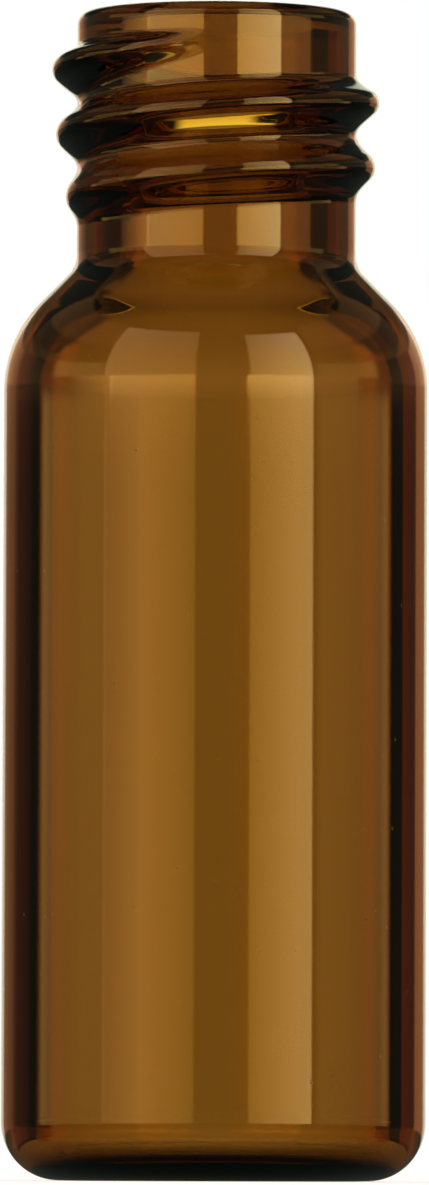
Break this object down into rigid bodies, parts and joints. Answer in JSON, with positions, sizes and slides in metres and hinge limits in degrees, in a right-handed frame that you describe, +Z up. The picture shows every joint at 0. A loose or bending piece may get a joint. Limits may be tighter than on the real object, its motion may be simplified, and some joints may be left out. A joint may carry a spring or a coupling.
{
  "type": "glass sample vial",
  "caption": "Small amber glass sample vial in one piece, with rounded shoulder, open bore and a short screw neck with a rounded right-hand cap thread.",
  "frame": {"origin": "middle of the foot, on the surface that the vial stands on", "axes": "+Z up the vial's axis, towards the mouth; -Y towards the side that the reference view shows; +X to that view's right"},
  "size_m": [0.0116, 0.0116, 0.032],
  "materials": {
    "amber_glass": "clear fire-polished amber borosilicate glass, smooth inside and out, tinted through its thickness"
  },
  "bodies": {
    "root": {"vial": "amber_glass"}
  },
  "joints": []
}
